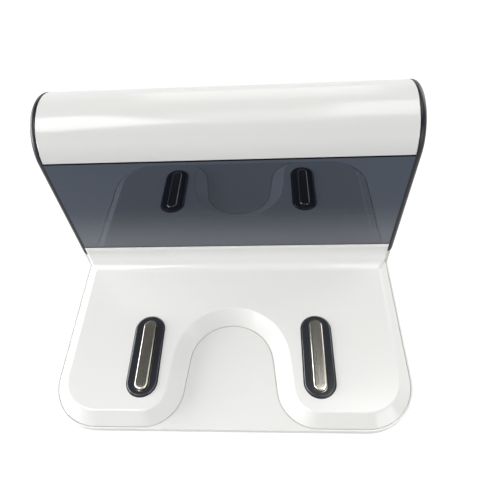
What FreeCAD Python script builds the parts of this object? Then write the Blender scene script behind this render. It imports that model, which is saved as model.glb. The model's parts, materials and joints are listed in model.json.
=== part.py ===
import FreeCAD
import Part
import math
import os

# Robot vacuum charging dock: a bevelled base with a caster bay and two sprung contacts, and a tower
# with a flat signal window that leans back under a rolled top. Millimetres, +Z up, the front looks
# towards -Y, and the origin lies on the floor under the middle of the outline.

Vector = FreeCAD.Vector
RIGHT = Vector(1, 0, 0)
BACKWARD = Vector(0, 1, 0)
FORWARD = Vector(0, -1, 0)
UP = Vector(0, 0, 1)

# Overall form
WIDTH = 130.0               # across the rim of the base
HEIGHT = 75.8               # floor to the top of the tower
RAMP_LENGTH = 69.8          # front rim to the foot of the window plane
CROWN_RADIUS = 16.3         # rolled top of the tower
LEAN = math.radians(2.5)    # the window leans back
FIT = 0.2                   # clearance between moulded pieces that slide together
SEAM = 0.03                 # hairline between pieces that are pressed together
OVERCUT = 1.0               # cutting shapes reach this far past the face they open

# Base cover
FOOT_DROP = 1.0             # the feet stand this far below the base
BEVEL_RUN = 4.3
BEVEL_DROP = 3.8
DECK_ROUND = 1.2            # soft edge where the deck turns into the bevel
COVER_WALL = 2.0
CORE_MARGIN = 0.8           # extra wall round the hollow under the deck
SHADOW_LINE = 0.22          # gap between the foot of the deck and the tray round it
SHADOW_DEPTH = 0.6          # the foot sinks this far into the tray

# Caster bay
BAY_RADIUS = 21.8           # far end of the bay at deck level
BAY_SETBACK = 46.3          # centre of that far end, in front of the window's foot
BAY_TAPER = math.radians(6.0)
BAY_RUN = 6.0               # horizontal run of its wall over the bevel's drop
BAY_FLARE = 7.6             # convex corner where the bay meets the front, at deck level

# Upstand between the deck and the window
UPSTAND_RADIUS = 6.8
UPSTAND_HEIGHT = 7.9
UPSTAND_LAND = 0.7          # thin top edge in front of the window
UPSTAND_END = 1.7           # its top corners stop short of the full width by this much
UPSTAND_END_ROUND = 1.4
UPSTAND_LIP_ROUND = 0.25

# Bottom plate, a tray whose rim and bay floor show round the cover
PLATE_THICKNESS = 1.4
PLATE_SEAT = 1.2            # its bay floor reaches this far inside the edge of the bay at deck level
RIM_HEIGHT = 2.5
RIM_LEDGE = 0.8             # from the rim's face to the foot of the bevel
RIM_ROUND = 0.25
RIM_WALL = 2.2
CORNER_RADIUS = 18.0        # front corners of the rim
FOOT_RADIUS = 5.0
FOOT_POCKET = 0.6
FOOT_EDGE = 16.0            # foot centres from the edges of the base

# Tower
CAP_PROUD = 0.95            # end caps stand out past the rim
CAP_THICKNESS = 2.35
CAP_ROUND = 2.1
CAP_FOOT_DROP = 4.8         # foot of the caps below the top of the upstand
CAP_RIB = 1.2               # locating rib inside the cap
CAP_RIB_DEPTH = 3.0
CAP_RIB_FOOT = 16.0         # height where the rib begins
SHELL_WALL = 2.0
SHELL_LIP_ROUND = 0.4
WINDOW_DROP = 14.8          # top edge of the window below the top of the tower
WINDOW_THICKNESS = 2.2
WINDOW_RECESS = 0.03
WINDOW_SEAT = 2.0           # window foot above the deck, inside the groove
SHADOW_GAP = 0.4
TONGUE_HEIGHT = 1.5         # top edge of the window that slides behind the shell
TONGUE_THICKNESS = 1.0
GROOVE_WALL = 2.6           # wall behind the window's foot
GROOVE_HEIGHT = 5.0         # height of that wall above the deck

# Contacts
CONTACT_PITCH = 63.8
CONTACT_SETBACK = 44.2      # contact centres in front of the window's foot
BEZEL_LENGTH = 31.3
BEZEL_WIDTH = 10.9
BEZEL_PROUD = 0.6
BEZEL_ROUND = 0.55
BEZEL_GAP = 0.35            # dark line round the bezel
BEZEL_ROOF = 0.9
BEZEL_FLANGE = 1.5          # flange under the deck
BEZEL_FLANGE_THICKNESS = 0.8
STRIP_LENGTH = 27.0
STRIP_WIDTH = 4.7
STRIP_PROUD = 0.8           # bar above the bezel
STRIP_END = 3.2             # length of each end that curves down
STRIP_END_DROP = 0.35
STRIP_ROUND = 0.5
STRIP_FLANGE = 0.8          # shoulder that keeps the bar in its slot
STRIP_FLANGE_THICKNESS = 0.7
STRIP_CLEARANCE = 0.35      # bar to slot, shoulder to pocket and roof
SPRING_RADIUS = 2.0
SPRING_WIRE = 0.4
SPRING_HALF_TURNS = 6
SPRING_SPREAD = 16.0        # between the two springs of one contact
SPRING_PLAY = 0.05          # coil to the shoulder above it
TERMINAL_THICKNESS = 0.4
TERMINAL_WIDTH = 5.2
TERMINAL_END = 2.0          # terminal stops this far from the ends of its pocket
TERMINAL_CORNER = 1.0

# Screws
SCREW_RADIUS = 1.3
SCREW_HEAD_RADIUS = 2.4
SCREW_HEAD_HEIGHT = 1.1
SCREW_LENGTH = 5.0
RECESS_REACH = 1.3          # half length of each blade of the driver recess
RECESS_BLADE = 0.33         # half width of each blade
SCREW_SPACE = 0.1           # clearance round the head and the shank in the plate
BOSS_RADIUS = 3.2
RAMP_SCREW_EDGE = 12.0      # ramp screws from the sides
RAMP_SCREW_FRONT = 27.0     # front pair from the front rim
RAMP_SCREW_REAR = 15.0      # rear pair in front of the window's foot
TAIL_SCREW_EDGE = 15.0
BACK_SCREW_EDGE = 31.0      # left screw at the back, from the left end
BACK_SCREW_ASIDE = 6.8      # right screw at the back, beside the inlet
BACK_BOSS_SETBACK = 4.6     # screw bosses in front of the shell's back wall
BACK_BOSS_HEIGHT = 7.0

# Inlet recess at the back
NICHE_EDGE = 7.0            # recess to the right end
NICHE_LENGTH = 40.2
NICHE_DEPTH = 13.1
NICHE_FLOOR = 4.4
NICHE_HEIGHT = 21.6
NICHE_WALL = 1.8
CORD_GROOVE_DEPTH = 8.0
CORD_GROOVE_HEIGHT = 8.0
INLET_HEIGHT = 15.5
INLET_DEPTH = 10.5
INLET_LENGTH = 17.0
INLET_FLANGE = 0.9
INLET_FLANGE_THICKNESS = 1.6
SOCKET_RADIUS = 3.8
SOCKET_PITCH = 8.0
SOCKET_WAIST = 0.6          # waist of the figure-eight, as a share of its round ends
SOCKET_DEPTH = 10.0
PIN_RADIUS = 1.2
PIN_LENGTH = 8.0

# Boards
EMITTER_BOARD_EDGE = 5.5    # board ends from the ends of the tower
EMITTER_BOARD_FOOT = 30.0
EMITTER_BOARD_HEIGHT = 20.0
EMITTER_BOARD_THICKNESS = 1.2
EMITTER_COUNT = 4
EMITTER_RADIUS = 1.5
EMITTER_LENGTH = 5.3
EMITTER_FLANGE = 0.4
EMITTER_FLANGE_LENGTH = 0.8
BAFFLE_DEPTH = 5.0
BAFFLE_GAP = 0.9            # baffle to the window
BAFFLE_MARGIN = 2.0         # baffle inside the board's long edges
BAFFLE_END = 7.2            # baffle to the middle of the posts
BAFFLE_WALL = 1.6
BAFFLE_HOLE = 2.3           # radius of the light horn at the emitter
POST_RADIUS = 3.0
POST_EDGE = 9.0             # board posts from the ends of the tower
POWER_BOARD_EDGE = 15.0     # board to the left end of the tower
POWER_BOARD_FOOT = 27.5
POWER_BOARD_HEIGHT = 35.0
POWER_BOARD_THICKNESS = 1.6
POWER_BOARD_STANDOFF = 5.0  # board in front of the shell's back wall
BOARD_HOLE_EDGE = 4.0
BOARD_MARGIN = 3.0          # components from the ends of the power board
COMPONENT_GAP = 2.0
CORE_WIDTH = 19.0
CORE_HEIGHT = 15.0
CORE_DEPTH = 6.0
CORE_LEG = 2.6
WINDING_DEPTH = 11.0
MAINS_CAPACITOR_RADIUS = 5.0
MAINS_CAPACITOR_LENGTH = 10.5
OUTPUT_CAPACITOR_RADIUS = 4.0
OUTPUT_CAPACITOR_LENGTH = 9.5
CHOKE_RADIUS = 4.5
CHOKE_WAIST = 3.8
CHOKE_LENGTH = 8.0
LEAD_RADIUS = 0.7
LEAD_STUB = 4.0             # straight run of a lead out of a board or the inlet
LEAD_PITCH = 4.0            # between the two mains leads
LEAD_SLACK = 3.0            # leads pass this far below and in front of a board's edge
LEAD_REACH = 8.0            # solder points above the foot of the power board
LEAD_SPREAD = 20.0          # contact leads land this far each side of the board's middle
BOARD_LEAD_SHIFT = 12.0     # lead between the boards runs this far across
BALLAST_EDGE = 10.0         # ballast to the left end
BALLAST_GAP = 3.0           # ballast to the wall of the inlet recess
BALLAST_DEPTH = 14.0
BALLAST_HEIGHT = 4.5

# Levels and planes that follow from those sizes
UNDERSIDE = FOOT_DROP
PLATE_TOP = UNDERSIDE + PLATE_THICKNESS
RIM_TOP = UNDERSIDE + RIM_HEIGHT
LAP = RIM_TOP - SHADOW_DEPTH
DECK = RIM_TOP + BEVEL_DROP
DECK_UNDERSIDE = DECK - COVER_WALL
WINDOW_TOP = HEIGHT - WINDOW_DROP
UPSTAND_TOP = DECK + UPSTAND_HEIGHT
CROWN_Z = HEIGHT - CROWN_RADIUS
CROWN_SETBACK = (CROWN_RADIUS + (CROWN_Z - DECK) * math.sin(LEAN)) / math.cos(LEAN)
DEPTH = RAMP_LENGTH + CROWN_SETBACK + CROWN_RADIUS
FRONT_Y = -DEPTH / 2
BACK_Y = DEPTH / 2
WINDOW_Y = FRONT_Y + RAMP_LENGTH
CROWN_Y = WINDOW_Y + CROWN_SETBACK
BACK_INNER_Y = BACK_Y - SHELL_WALL
HALF_WIDTH = WIDTH / 2
TOWER_HALF = HALF_WIDTH + CAP_PROUD
INNER_HALF = TOWER_HALF - CAP_THICKNESS
CAP_FOOT = UPSTAND_TOP - CAP_FOOT_DROP
SKIRT_TOP = CAP_FOOT - SEAM
WINDOW_BACK = WINDOW_RECESS + WINDOW_THICKNESS
GROOVE_BACK = WINDOW_BACK + FIT + GROOVE_WALL
BAY_Y = WINDOW_Y - BAY_SETBACK
CONTACT_Y = WINDOW_Y - CONTACT_SETBACK
BEZEL_TOP = DECK + BEZEL_PROUD
ROOF_UNDERSIDE = BEZEL_TOP - BEZEL_ROOF
STRIP_TOP = BEZEL_TOP + STRIP_PROUD
FLANGE_TOP = ROOF_UNDERSIDE - STRIP_CLEARANCE
FLANGE_UNDERSIDE = FLANGE_TOP - STRIP_FLANGE_THICKNESS
TERMINAL_TOP = PLATE_TOP + TERMINAL_THICKNESS
BAFFLE_TOP = EMITTER_BOARD_FOOT + EMITTER_BOARD_HEIGHT - BAFFLE_MARGIN
POWER_BOARD_BACK = BACK_INNER_Y - POWER_BOARD_STANDOFF
POWER_BOARD_FRONT = POWER_BOARD_BACK - POWER_BOARD_THICKNESS
EMITTER_Z = EMITTER_BOARD_FOOT + EMITTER_BOARD_HEIGHT / 2
NICHE_RIGHT = HALF_WIDTH - NICHE_EDGE
NICHE_LEFT = NICHE_RIGHT - NICHE_LENGTH
POST_X = HALF_WIDTH - POST_EDGE
BAFFLE_HALF = POST_X - BAFFLE_END
EMITTER_PITCH = (2 * BAFFLE_HALF - BAFFLE_WALL) / EMITTER_COUNT
BALLAST_RIGHT = NICHE_LEFT - NICHE_WALL - BALLAST_GAP
INLET_END = NICHE_LEFT - INLET_LENGTH
POWER_BOARD_LEFT = POWER_BOARD_EDGE - HALF_WIDTH
OUTPUT_CAPACITOR_X = POWER_BOARD_LEFT + BOARD_MARGIN + OUTPUT_CAPACITOR_RADIUS
TRANSFORMER_X = OUTPUT_CAPACITOR_X + OUTPUT_CAPACITOR_RADIUS + COMPONENT_GAP + CORE_WIDTH / 2
MAINS_CAPACITOR_X = TRANSFORMER_X + CORE_WIDTH / 2 + COMPONENT_GAP + MAINS_CAPACITOR_RADIUS
CHOKE_X = MAINS_CAPACITOR_X + MAINS_CAPACITOR_RADIUS + COMPONENT_GAP + CHOKE_RADIUS
POWER_BOARD_RIGHT = CHOKE_X + CHOKE_RADIUS + BOARD_MARGIN
COMPONENT_Z = POWER_BOARD_FOOT + POWER_BOARD_HEIGHT / 2


def front_plane(z, inset=0.0):
    """Y of the leaning front plane at height z, moved into the tower by inset."""
    return WINDOW_Y + (z - DECK) * math.tan(LEAN) + inset / math.cos(LEAN)


BASE_REAR = front_plane(UNDERSIDE) - FIT
CORE_REAR = WINDOW_Y - UPSTAND_LAND - UPSTAND_RADIUS
TAIL_REAR = front_plane(DECK + GROOVE_HEIGHT, GROOVE_BACK)
BAFFLE_Y = front_plane(BAFFLE_TOP, WINDOW_BACK) + BAFFLE_GAP
EMITTER_BOARD_Y = BAFFLE_Y + BAFFLE_DEPTH
INLET_Y = BACK_Y - NICHE_DEPTH / 2
INLET_Z = NICHE_FLOOR + NICHE_HEIGHT / 2
BALLAST_Y = TAIL_REAR + 4 * LEAD_RADIUS + 2 * FIT


# Basic shapes

def box(x0, x1, y0, y1, z0, z1):
    return Part.makeBox(x1 - x0, y1 - y0, z1 - z0, Vector(x0, y0, z0))


def rod(radius, start, direction, length):
    return Part.makeCylinder(radius, length, start, direction)


def line(a, b):
    return Part.LineSegment(a, b).toShape()


def arc(a, middle, b):
    return Part.Arc(a, middle, b).toShape()


def prism(wire, rise):
    return Part.Face(wire).extrude(rise)


def section(points, x0, x1):
    """Solid with the closed (y, z) polygon as its section, from x0 to x1."""
    corners = [Vector(x0, y, z) for y, z in points]
    return prism(Part.makePolygon(corners + corners[:1]), Vector(x1 - x0, 0, 0))


def leaning_slab(inset_front, inset_back, z0, z1, x0, x1):
    """Plate that follows the lean of the front plane."""
    points = [
        (front_plane(z0, inset_front), z0),
        (front_plane(z1, inset_front), z1),
        (front_plane(z1, inset_back), z1),
        (front_plane(z0, inset_back), z0),
    ]
    return section(points, x0, x1)


def stadium(length, width, x, y, z0, z1):
    """Upright solid with a slot-shaped outline, long along Y."""
    radius = width / 2
    half = length / 2 - radius
    left, right = x - radius, x + radius
    edges = [
        line(Vector(right, y - half, z0), Vector(right, y + half, z0)),
        arc(Vector(right, y + half, z0), Vector(x, y + half + radius, z0), Vector(left, y + half, z0)),
        line(Vector(left, y + half, z0), Vector(left, y - half, z0)),
        arc(Vector(left, y - half, z0), Vector(x, y - half - radius, z0), Vector(right, y - half, z0)),
    ]
    return prism(Part.Wire(edges), Vector(0, 0, z1 - z0))


def rounded(shape, radius, wanted):
    """Shape with the edges that the test picks rounded off."""
    edges = [edge for edge in shape.Edges if wanted(edge)]
    return shape.makeFillet(radius, edges)


def lies_at(edge, axis, value):
    low = getattr(edge.BoundBox, axis + "Min")
    high = getattr(edge.BoundBox, axis + "Max")
    return abs(low - value) < 1e-4 and abs(high - value) < 1e-4


def fused(first, *others):
    return first.fuse(list(others)).removeSplitter()


def lead(points):
    """Round lead through the points, with ball corners."""
    pieces = []
    for a, b in zip(points, points[1:]):
        pieces.append(rod(LEAD_RADIUS, a, b - a, (b - a).Length))
    for corner in points[1:-1]:
        pieces.append(Part.makeSphere(LEAD_RADIUS, corner))
    return pieces[0].fuse(pieces[1:])


def mirrored(shape):
    return shape.mirror(Vector(0, 0, 0), RIGHT)


# Outlines of the base

def mirrored_points(points):
    return [Vector(-point.x, point.y, point.z) for point in reversed(points)]


def edges_through(segments):
    return [arc(*points) if len(points) == 3 else line(*points) for points in segments]


def corner_segments(start, inset, rear, z):
    """Right half of the rim from a point on the front edge to the rear, with its rounded corner."""
    half = HALF_WIDTH - inset
    front = FRONT_Y + inset
    radius = CORNER_RADIUS - inset
    slant = radius * math.sqrt(0.5)
    begin = Vector(half - radius, front, z)
    middle = Vector(half - radius + slant, front + radius - slant, z)
    end = Vector(half, front + radius, z)
    return [(start, begin), (begin, middle, end), (end, Vector(half, rear, z))]


def closed_outline(right, *bridge):
    """Wire from the right-hand segments, their mirror image and any segment across the middle."""
    left = [mirrored_points(points) for points in reversed(right)]
    back = (right[-1][-1], left[0][0])
    return Part.Wire(edges_through(right + [back] + left + list(bridge)))


def rim_outline(z):
    return closed_outline(corner_segments(Vector(0, FRONT_Y, z), 0, BASE_REAR, z))


def bay_outline(inset, bay_radius, flare, rear, z):
    """Outline of the deck: the rim moved in by inset, broken at the front by the caster bay."""
    front = FRONT_Y + inset
    sine, cosine = math.sin(BAY_TAPER), math.cos(BAY_TAPER)
    side = Vector(bay_radius * cosine, BAY_Y + bay_radius * sine, z)
    flare_x = side.x + (flare - (front + flare - side.y) * sine) / cosine
    centre = Vector(flare_x, front + flare, z)
    turn = centre - Vector(flare * cosine, flare * sine, 0)
    half_turn = math.pi / 4 + BAY_TAPER / 2
    middle = centre - Vector(flare * math.cos(half_turn), flare * math.sin(half_turn), 0)
    mouth = Vector(flare_x, front, z)
    right = [(side, turn), (turn, middle, mouth)] + corner_segments(mouth, inset, rear, z)
    far_end = (Vector(-side.x, side.y, z), Vector(0, BAY_Y + bay_radius, z), side)
    return closed_outline(right, far_end)


def foot_outline(grown, z):
    """Outline of the foot of the deck, moved out by grown."""
    run = BAY_RUN + grown
    return bay_outline(RIM_LEDGE - grown, BAY_RADIUS - run, BAY_FLARE + run, BASE_REAR, z)


def well_outline(clearance, rear, z):
    """Outline of the space inside the rim and round the bay floor of the tray, drawn in by a clearance."""
    radius = BAY_RADIUS - PLATE_SEAT + clearance
    flare = BAY_FLARE + PLATE_SEAT - clearance
    return bay_outline(RIM_WALL + clearance, radius, flare, rear, z)


# Tower section

def tower_section(inset, foot, x0, x1):
    """Solid with the tower's side outline moved in by inset: leaning front, rolled top, upright back."""
    radius = CROWN_RADIUS - inset
    front_foot = Vector(x0, front_plane(foot, inset), foot)
    front_top = Vector(x0, CROWN_Y - radius * math.cos(LEAN), CROWN_Z + radius * math.sin(LEAN))
    crown = Vector(x0, CROWN_Y, CROWN_Z + radius)
    back_top = Vector(x0, CROWN_Y + radius, CROWN_Z)
    back_foot = Vector(x0, CROWN_Y + radius, foot)
    edges = [
        line(front_foot, front_top),
        arc(front_top, crown, back_top),
        line(back_top, back_foot),
        line(back_foot, front_foot),
    ]
    return prism(Part.Wire(edges), Vector(x1 - x0, 0, 0))


# Places of repeated features

def contact_x(side):
    return side * CONTACT_PITCH / 2


def ramp_screws():
    x = HALF_WIDTH - RAMP_SCREW_EDGE
    return [(side * x, y) for side in (-1, 1)
            for y in (FRONT_Y + RAMP_SCREW_FRONT, WINDOW_Y - RAMP_SCREW_REAR)]


def tail_screws():
    y = (BASE_REAR + TAIL_REAR) / 2
    return [(side * (HALF_WIDTH - TAIL_SCREW_EDGE), y) for side in (-1, 0, 1)]


def back_screws():
    y = BACK_INNER_Y - BACK_BOSS_SETBACK
    return [(BACK_SCREW_EDGE - HALF_WIDTH, y), (INLET_END - BACK_SCREW_ASIDE, y)]


def bottom_screw_places():
    return ramp_screws() + tail_screws() + back_screws()


def foot_places():
    front = FRONT_Y + FOOT_EDGE
    rear = BACK_Y - FOOT_EDGE / 2
    return [(side * (HALF_WIDTH - FOOT_EDGE), y) for y in (front, rear) for side in (-1, 1)]


def power_board_holes():
    x0 = POWER_BOARD_LEFT + BOARD_HOLE_EDGE
    x1 = POWER_BOARD_RIGHT - BOARD_HOLE_EDGE
    z0 = POWER_BOARD_FOOT + BOARD_HOLE_EDGE
    z1 = POWER_BOARD_FOOT + POWER_BOARD_HEIGHT - BOARD_HOLE_EDGE
    return [(x, z) for x in (x0, x1) for z in (z0, z1)]


def post_places():
    return [(side * POST_X, EMITTER_Z) for side in (-1, 1)]


def emitter_places():
    first = -(EMITTER_COUNT - 1) / 2 * EMITTER_PITCH
    return [first + EMITTER_PITCH * index for index in range(EMITTER_COUNT)]


# Base

def upstand():
    """Concave bar that turns the deck up to the window, with ends that slant in towards its foot."""
    half = INNER_HALF - FIT
    toe = WINDOW_Y - UPSTAND_LAND - UPSTAND_RADIUS
    slant = UPSTAND_RADIUS * math.sqrt(0.5)
    rear = WINDOW_RECESS - FIT
    x0 = -half
    start = Vector(x0, toe, DECK)
    middle = Vector(x0, toe + slant, DECK + UPSTAND_RADIUS - slant)
    end = Vector(x0, toe + UPSTAND_RADIUS, DECK + UPSTAND_RADIUS)
    lip = Vector(x0, front_plane(UPSTAND_TOP, -UPSTAND_LAND), UPSTAND_TOP)
    lip_back = Vector(x0, front_plane(UPSTAND_TOP, rear), UPSTAND_TOP)
    heel = Vector(x0, front_plane(PLATE_TOP, rear), PLATE_TOP)
    toe_low = Vector(x0, toe, PLATE_TOP)
    corners = [end, lip, lip_back, heel, toe_low, start]
    edges = [arc(start, middle, end)] + [line(a, b) for a, b in zip(corners, corners[1:])]
    bar = prism(Part.Wire(edges), Vector(2 * half, 0, 0))
    foot_corner = Vector(HALF_WIDTH - RIM_LEDGE - BEVEL_RUN, toe, DECK)
    top_corner = Vector(HALF_WIDTH - UPSTAND_END, lip.y, UPSTAND_TOP)
    rim_corner = Vector(HALF_WIDTH - RIM_LEDGE, lip.y, RIM_TOP)
    outward = (rim_corner - foot_corner).cross(top_corner - foot_corner)
    turn = FreeCAD.Rotation(UP, outward)
    beyond = box(-HALF_WIDTH, HALF_WIDTH, -HALF_WIDTH, HALF_WIDTH, 0, HALF_WIDTH)
    beyond.Placement = FreeCAD.Placement(foot_corner, turn)
    bar = bar.cut([beyond, mirrored(beyond)])
    bar = rounded(bar, UPSTAND_END_ROUND, lambda edge: is_upstand_end(edge, toe))
    return rounded(bar, UPSTAND_LIP_ROUND, lambda edge: lies_at(edge, "Z", UPSTAND_TOP)
                   and edge.BoundBox.YMax < lip.y + 1e-3)


def is_upstand_end(edge, toe):
    """Curved edge between the hollow face and one of the slanting ends."""
    bounds = edge.BoundBox
    return abs(bounds.YMin - toe) < 1e-3 and bounds.ZMin > DECK - 1e-3 and bounds.ZLength > 1


def tail():
    """Bar behind the upstand that holds the foot of the window and takes the rear screws."""
    half = INNER_HALF - FIT
    top = DECK + GROOVE_HEIGHT
    points = [
        (BASE_REAR - UPSTAND_LAND, PLATE_TOP),
        (TAIL_REAR, PLATE_TOP),
        (TAIL_REAR, top),
        (front_plane(top), top),
        (front_plane(DECK), DECK),
        (BASE_REAR - UPSTAND_LAND, DECK),
    ]
    return section(points, -half, half)


def skirt(side):
    """Wall beside the tower that an end cap stands on, with its root in the bar behind the upstand."""
    points = [
        (front_plane(UNDERSIDE), UNDERSIDE),
        (front_plane(SKIRT_TOP), SKIRT_TOP),
        (BACK_Y, SKIRT_TOP),
        (BACK_Y, UNDERSIDE),
    ]
    wall = section(points, side * (INNER_HALF + SEAM), side * HALF_WIDTH)
    root = leaning_slab(0, GROOVE_BACK, PLATE_TOP, SKIRT_TOP, side * (INNER_HALF - OVERCUT),
                        side * (HALF_WIDTH - SEAM))
    return wall.fuse(root)


def window_groove():
    half = INNER_HALF + FIT
    front = WINDOW_RECESS - FIT
    back = WINDOW_BACK + FIT
    return leaning_slab(front, back, DECK + WINDOW_SEAT, UPSTAND_TOP + FIT, -half, half)


def raised_deck():
    """Deck with its bevel and the caster bay, on a straight foot that stands on the bottom plate."""
    edge_inset = RIM_LEDGE + BEVEL_RUN
    deck_outline = bay_outline(edge_inset, BAY_RADIUS, BAY_FLARE, BASE_REAR, DECK)
    deck = Part.makeLoft([foot_outline(0, RIM_TOP), deck_outline], True, True)

    def on_deck_edge(edge):
        return lies_at(edge, "Z", DECK) and not lies_at(edge, "Y", BASE_REAR)

    deck = rounded(deck, DECK_ROUND, on_deck_edge)
    return deck.fuse(prism(foot_outline(0, PLATE_TOP), UP * (RIM_TOP - PLATE_TOP)))


def tray_room():
    """Space that the cover leaves free for the rim and the bay floor of the tray."""
    space = box(-HALF_WIDTH, HALF_WIDTH, FRONT_Y, BASE_REAR + SEAM, UNDERSIDE, RIM_TOP)
    foot = prism(foot_outline(0, LAP + SEAM), UP * RIM_HEIGHT)
    inside = prism(well_outline(FIT, BASE_REAR + OVERCUT, UNDERSIDE), UP * RIM_HEIGHT)
    return space.cut([foot, inside])


def tray_walls():
    """Rim and bay floor that stand round the foot of the deck."""
    def on_top_edge(edge):
        return lies_at(edge, "Z", RIM_TOP) and not lies_at(edge, "Y", BASE_REAR)

    slab = rounded(prism(rim_outline(UNDERSIDE), UP * RIM_HEIGHT), RIM_ROUND, on_top_edge)
    step = prism(foot_outline(SHADOW_LINE, LAP), UP * SHADOW_DEPTH)
    well = prism(well_outline(0, BASE_REAR + OVERCUT, UNDERSIDE), UP * RIM_HEIGHT)
    return slab.cut([step, well])


def deck_core():
    """Hollow under the deck, for the contacts and the screw bosses."""
    inset = RIM_LEDGE + BEVEL_RUN + CORE_MARGIN
    radius = BAY_RADIUS + CORE_MARGIN
    outline = bay_outline(inset, radius, BAY_FLARE - CORE_MARGIN, CORE_REAR, UNDERSIDE)
    return prism(outline, UP * (DECK_UNDERSIDE - UNDERSIDE))


def lead_tunnel(x, y0, y1):
    """Way for a contact's lead along the bottom plate."""
    run = 2 * LEAD_RADIUS
    return box(x - run, x + run, y0, y1, PLATE_TOP, PLATE_TOP + run + 4 * FIT)


def base_cover():
    cover = fused(raised_deck(), upstand(), tail(), skirt(-1), skirt(1))
    cover = cover.cut([deck_core(), tray_room(), window_groove(), niche_space()[1]])
    boss_height = DECK_UNDERSIDE - PLATE_TOP
    bosses = [rod(BOSS_RADIUS, Vector(x, y, PLATE_TOP), UP, boss_height) for x, y in ramp_screws()]
    cover = fused(cover, *bosses)
    holes = []
    for x, y in ramp_screws() + tail_screws():
        holes.append(rod(SCREW_RADIUS, Vector(x, y, UNDERSIDE), UP, SCREW_LENGTH))
    for side in (-1, 1):
        x = contact_x(side)
        length = BEZEL_LENGTH + 2 * BEZEL_GAP
        width = BEZEL_WIDTH + 2 * BEZEL_GAP
        holes.append(stadium(length, width, x, CONTACT_Y, PLATE_TOP, DECK + OVERCUT))
        holes.append(lead_tunnel(x, CORE_REAR - OVERCUT, TAIL_REAR + OVERCUT))
    return cover.cut(holes)


def bottom_plate():
    half = INNER_HALF - FIT
    tower_part = box(-half, half, WINDOW_Y, BACK_INNER_Y - FIT, UNDERSIDE, PLATE_TOP)
    ramp_part = prism(well_outline(0, WINDOW_Y + OVERCUT, UNDERSIDE), UP * PLATE_THICKNESS)
    plate = fused(tray_walls(), ramp_part, tower_part)
    shank_radius = SCREW_RADIUS + SCREW_SPACE
    head_radius = SCREW_HEAD_RADIUS + SCREW_SPACE
    cuts = []
    for x, y in bottom_screw_places():
        place = Vector(x, y, UNDERSIDE)
        cuts.append(rod(shank_radius, place, UP, PLATE_THICKNESS))
        cuts.append(Part.makeCone(head_radius, shank_radius, SCREW_HEAD_HEIGHT, place))
    for x, y in foot_places():
        cuts.append(rod(FOOT_RADIUS + FIT, Vector(x, y, UNDERSIDE), UP, FOOT_POCKET))
    return plate.cut(cuts)


def foot(x, y):
    pad = rod(FOOT_RADIUS, Vector(x, y, 0), UP, FOOT_DROP + FOOT_POCKET)
    return rounded(pad, FOOT_DROP / 3, lambda edge: lies_at(edge, "Z", 0))


def countersunk_screw(x, y):
    place = Vector(x, y, UNDERSIDE)
    straight = SCREW_LENGTH - SCREW_RADIUS
    head = Part.makeCone(SCREW_HEAD_RADIUS, SCREW_RADIUS, SCREW_HEAD_HEIGHT, place)
    shank = rod(SCREW_RADIUS, place, UP, straight)
    tip = Part.makeCone(SCREW_RADIUS, SCREW_RADIUS / 3, SCREW_RADIUS, place + UP * straight)
    return fused(head, shank, tip).cut(cross_recess(place, UP))


def cross_recess(top, inward):
    """Cross-shaped driver recess, sunk from the top of a screw head."""
    depth = SCREW_HEAD_HEIGHT / 2
    bars = []
    for half_x, half_y in ((RECESS_REACH, RECESS_BLADE), (RECESS_BLADE, RECESS_REACH)):
        bar = box(-half_x, half_x, -half_y, half_y, 0, depth)
        bar.Placement = FreeCAD.Placement(top, FreeCAD.Rotation(UP, inward))
        bars.append(bar)
    return bars


# Contacts

def contact_bezel(side):
    x = contact_x(side)
    body = stadium(BEZEL_LENGTH, BEZEL_WIDTH, x, CONTACT_Y, PLATE_TOP, BEZEL_TOP)
    body = rounded(body, BEZEL_ROUND, lambda edge: lies_at(edge, "Z", BEZEL_TOP))
    flange = stadium(BEZEL_LENGTH + 2 * BEZEL_FLANGE, BEZEL_WIDTH + 2 * BEZEL_FLANGE, x, CONTACT_Y,
                     DECK_UNDERSIDE - BEZEL_FLANGE_THICKNESS, DECK_UNDERSIDE)
    slot = stadium(STRIP_LENGTH + 2 * STRIP_CLEARANCE, STRIP_WIDTH + 2 * STRIP_CLEARANCE, x, CONTACT_Y,
                   PLATE_TOP, BEZEL_TOP + OVERCUT)
    grown = 2 * (STRIP_FLANGE + STRIP_CLEARANCE)
    pocket = stadium(STRIP_LENGTH + grown, STRIP_WIDTH + grown, x, CONTACT_Y, PLATE_TOP, ROOF_UNDERSIDE)
    door = lead_tunnel(x, CONTACT_Y, CONTACT_Y + BEZEL_LENGTH / 2 + OVERCUT)
    bezel = fused(body, flange).cut([slot, pocket, door])
    return rounded(bezel, BEZEL_ROUND / 2, lambda edge: is_slot_rim(edge, x))


def is_slot_rim(edge, x):
    inside = STRIP_WIDTH / 2 + STRIP_CLEARANCE + 1e-3
    bounds = edge.BoundBox
    return lies_at(edge, "Z", BEZEL_TOP) and bounds.XMin > x - inside and bounds.XMax < x + inside


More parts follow.
